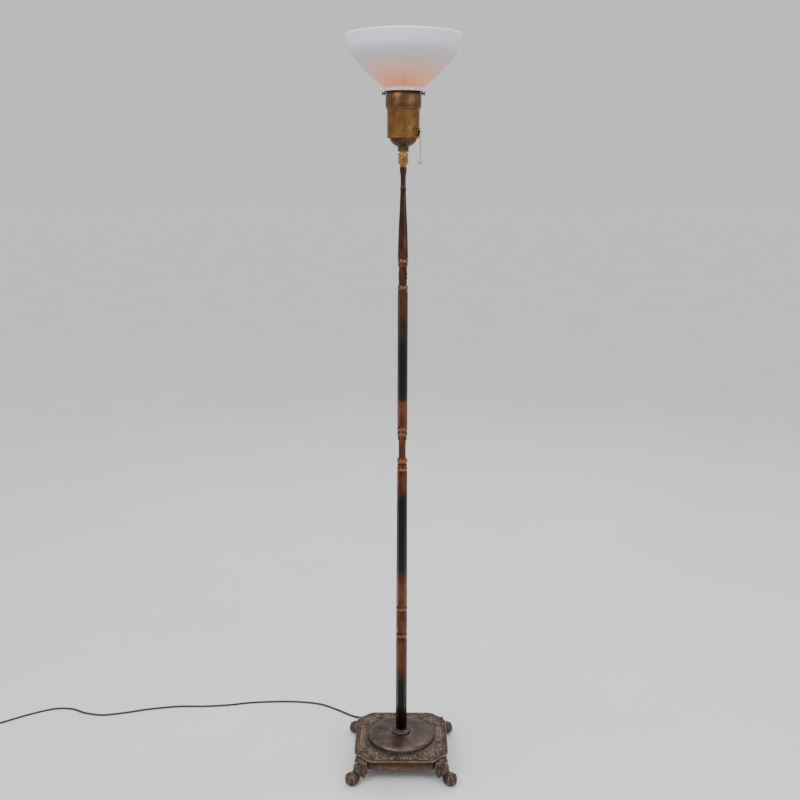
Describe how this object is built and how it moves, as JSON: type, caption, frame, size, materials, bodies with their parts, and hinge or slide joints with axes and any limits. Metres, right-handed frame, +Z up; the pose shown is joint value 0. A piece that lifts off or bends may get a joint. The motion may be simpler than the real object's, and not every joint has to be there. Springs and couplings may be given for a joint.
{
  "type": "torchiere floor lamp",
  "caption": "Floor lamp with an upturned milk-glass bowl on a pull-chain mogul socket, a slim sectioned hexagonal column and a square cast base on paw feet.",
  "frame": {"origin": "on the floor, under the column's axis, at the bottom centre of the lamp without its cord", "axes": "+Z up along the column, -Y towards the front, +X to the right; the cord leaves the back left"},
  "size_m": [1.0415, 0.3271, 1.373],
  "materials": {
    "bronze_casting": "satin",
    "iron": "rough",
    "steel": "satin",
    "shaded_copper": "satin",
    "antique_brass": "satin",
    "bright_brass": "satin",
    "chain_brass": "polished",
    "fibre": "matte",
    "porcelain": "glazed",
    "milk_glass": "milk white, waffle pressed",
    "bulb_glass": "frosted white",
    "cord_rubber": "satin",
    "plug_black": "satin",
    "plug_brass": "satin"
  },
  "bodies": {
    "lamp": {"base_casting": "bronze_casting", "leg_front_left": "bronze_casting", "leg_front_right": "bronze_casting", "leg_back_right": "bronze_casting", "leg_back_left": "bronze_casting", "seating_ring": "bronze_casting", "base_weight": "iron", "leg_screw_front_left": "steel", "leg_screw_front_right": "steel", "leg_screw_back_right": "steel", "leg_screw_back_left": "steel", "weight_screw_1": "steel", "weight_screw_2": "steel", "lamp_pipe": "steel", "lock_washer": "steel", "lock_nut": "steel", "socket_nipple": "steel", "cap_set_screw": "steel", "lower_tube": "shaded_copper", "lower_break": "shaded_copper", "middle_tube": "shaded_copper", "middle_break": "shaded_copper", "upper_tube": "shaded_copper", "upper_break": "shaded_copper", "top_spindle": "shaded_copper", "spindle_ferrule": "shaded_copper", "socket_cap": "antique_brass", "socket_shell": "antique_brass", "socket_collar": "antique_brass", "chain_bushing": "antique_brass", "shade_holder": "antique_brass", "knurled_coupling": "bright_brass", "terminal_screw_1": "bright_brass", "terminal_screw_2": "bright_brass", "screw_shell": "bright_brass", "centre_contact": "bright_brass", "insulating_liner": "fibre", "porcelain_body": "porcelain", "riser_cord": "cord_rubber", "riser_lead_1": "cord_rubber", "riser_lead_2": "cord_rubber", "cord_bushing": "cord_rubber", "cord_lead": "cord_rubber", "cord_coil": "cord_rubber", "cord_tie": "cord_rubber", "cord_tail": "cord_rubber", "plug_body": "plug_black", "plug_blade_1": "plug_brass", "plug_blade_2": "plug_brass"},
    "glass_bowl": {"glass_bowl": "milk_glass"},
    "bulb": {"bulb_base": "bright_brass", "bulb_glass": "bulb_glass"},
    "thumbscrew_left": {"holder_screw_left": "antique_brass"},
    "thumbscrew_right": {"holder_screw_right": "antique_brass"},
    "chain_top": {"chain_connector": "chain_brass"},
    "hanging_chain": {"pull_chain": "chain_brass", "bell_pull": "chain_brass"},
    "switch_lever": {"pull_lever": "steel"},
    "switch_wheel": {"ratchet_wheel": "fibre"}
  },
  "joints": [
    {"name": "bowl_lift", "type": "slide", "parent": "lamp", "child": "glass_bowl", "axis": [0, 0, 1], "range_m": [0, 0.11]},
    {"name": "bulb_lift", "type": "slide", "parent": "lamp", "child": "bulb", "axis": [0, 0, 1], "range_m": [0, 0.12]},
    {"name": "thumbscrew_left_out", "type": "slide", "parent": "lamp", "child": "thumbscrew_left", "axis": [-1, 0, 0], "range_m": [0, 0.004]},
    {"name": "thumbscrew_right_out", "type": "slide", "parent": "lamp", "child": "thumbscrew_right", "axis": [1, 0, 0], "range_m": [0, 0.004]},
    {"name": "chain_pull", "type": "slide", "parent": "lamp", "child": "chain_top", "axis": [0, 0, -1], "range_m": [0, 0.009], "stiffness_N_per_m": 300, "springref_m": -0.001},
    {"name": "chain_swing", "type": "hinge", "parent": "chain_top", "child": "hanging_chain", "pos_m": [0.02984, -0.01587, 1.2078], "axis": [-0.4695, -0.8829, 0], "range_deg": [-1, 75]},
    {"name": "lever_turn", "type": "hinge", "parent": "lamp", "child": "switch_lever", "pos_m": [0.01236, -0.00657, 1.2108], "axis": [0.4695, 0.8829, 0], "range_deg": [0, 28]},
    {"name": "ratchet_turn", "type": "hinge", "parent": "lamp", "child": "switch_wheel", "pos_m": [0.01236, -0.00657, 1.2108], "axis": [0.4695, 0.8829, 0], "range_deg": [0, 46]}
  ],
  "couplings": [
    {"joint": "lever_turn", "follows": "chain_pull", "rad_per_m": 52.36},
    {"joint": "ratchet_turn", "follows": "chain_pull", "rad_per_m": 87.27}
  ]
}
